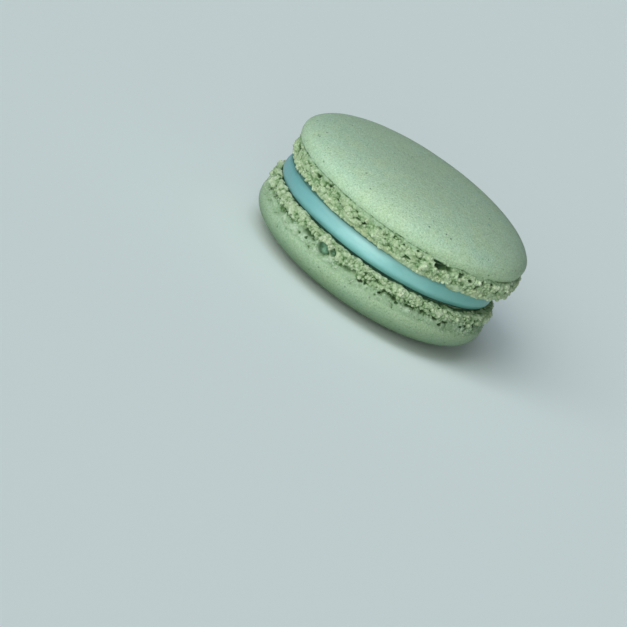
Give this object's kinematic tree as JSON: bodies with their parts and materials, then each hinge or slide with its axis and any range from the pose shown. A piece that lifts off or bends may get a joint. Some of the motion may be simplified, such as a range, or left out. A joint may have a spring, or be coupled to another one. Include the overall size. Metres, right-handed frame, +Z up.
{
  "type": "macaron",
  "caption": "Round almond-meringue macaron: two smooth domed halves with ruffled, crumbly feet, sandwiching a disc of soft filling.",
  "frame": {"origin": "middle of the small flat spot that the macaron rests on, below the centre of its bounding box", "axes": "+Z up through the middle of the macaron, the axis that both halves are round about; -Y is the side towards the viewer"},
  "size_m": [0.0452, 0.045, 0.0241],
  "materials": {
    "baked_almond": "matte baked meringue, pale green, smooth on the dome and crumbly on the foot",
    "smooth_cream": "smooth satin cream, pale turquoise"
  },
  "bodies": {
    "root": {"bottom_shell": "baked_almond", "filling": "smooth_cream", "top_shell": "baked_almond"}
  },
  "joints": []
}
